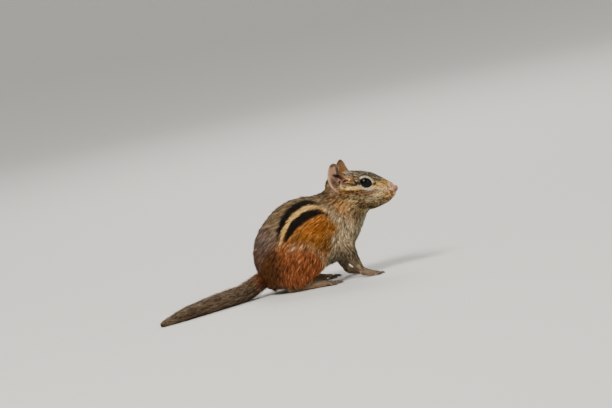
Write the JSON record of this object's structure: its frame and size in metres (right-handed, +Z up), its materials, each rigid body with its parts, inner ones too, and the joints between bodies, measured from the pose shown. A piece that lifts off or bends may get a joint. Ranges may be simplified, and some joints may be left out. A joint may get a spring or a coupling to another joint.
{
  "type": "chipmunk",
  "caption": "Life-size still figure of an eastern chipmunk on all fours, head raised, back arched, tail laid along the floor.",
  "frame": {"origin": "on the floor, under the middle of the whole figure's box", "axes": "+X the way the animal faces, along its length from tail to nose; +Y its left; +Z up"},
  "size_m": [0.1546, 0.068, 0.0706],
  "materials": {
    "body_coat": "short grey-brown fur with black and cream stripes, orange flank",
    "face_coat": "very short tawny fur with pale and dark stripes",
    "haunch_coat": "short rusty fur",
    "tail_coat": "long dark hair with frosted tips",
    "ear_skin": "thin skin with sparse short hair",
    "foot_skin": "skin with sparse short hair",
    "eye": "wet glossy black"
  },
  "bodies": {
    "root": {"torso": "body_coat", "neck": "body_coat", "head": "face_coat", "ear_right": "ear_skin", "ear_left": "ear_skin", "eye_right": "eye", "eye_left": "eye", "hind_leg_right": "haunch_coat", "hind_leg_left": "haunch_coat", "hind_foot_right": "foot_skin", "hind_foot_left": "foot_skin", "foreleg_right": "body_coat", "foreleg_left": "body_coat", "forepaw_right": "foot_skin", "forepaw_left": "foot_skin", "tail": "tail_coat"}
  },
  "joints": []
}
